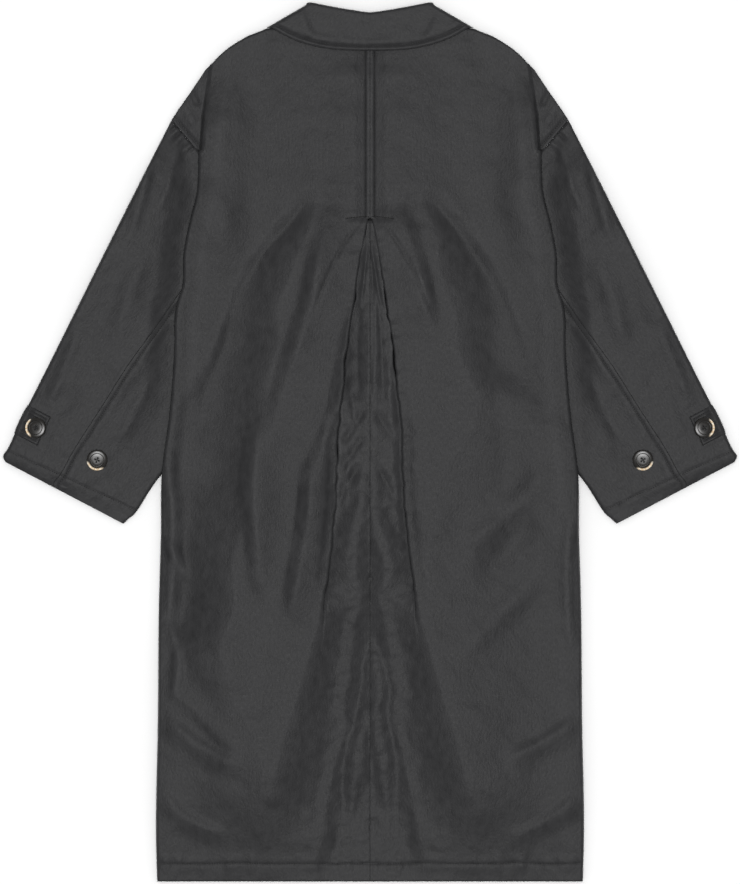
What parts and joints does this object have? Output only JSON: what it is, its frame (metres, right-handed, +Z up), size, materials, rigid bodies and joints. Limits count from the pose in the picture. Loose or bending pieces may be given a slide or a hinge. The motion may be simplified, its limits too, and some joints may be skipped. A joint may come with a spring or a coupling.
{
  "type": "padded coat",
  "caption": "Long padded coat laid flat with its back up: turned-down collar, inverted pleat below the centre back seam, and seamed sleeves with buttoned cuff tabs.",
  "frame": {"origin": "middle of the coat's overall length and width, on the surface that it lies on", "axes": "+Y from the hem towards the collar, +X towards the wearer's right, +Z up from the surface through the front panels to the back"},
  "size_m": [0.998, 1.1956, 0.0219],
  "materials": {
    "shell_cloth": "satin",
    "button_horn": "gloss"
  },
  "bodies": {
    "root": {"back_left": "shell_cloth", "back_right": "shell_cloth", "front_left": "shell_cloth", "front_right": "shell_cloth", "sleeve_left_top": "shell_cloth", "sleeve_left_under": "shell_cloth", "sleeve_right_top": "shell_cloth", "sleeve_right_under": "shell_cloth", "collar": "shell_cloth", "cuff_tab_left": "shell_cloth", "cuff_tab_right": "shell_cloth", "tab_button_left": "button_horn", "tab_button_right": "button_horn", "cuff_button_left": "button_horn", "cuff_button_right": "button_horn"}
  },
  "joints": []
}
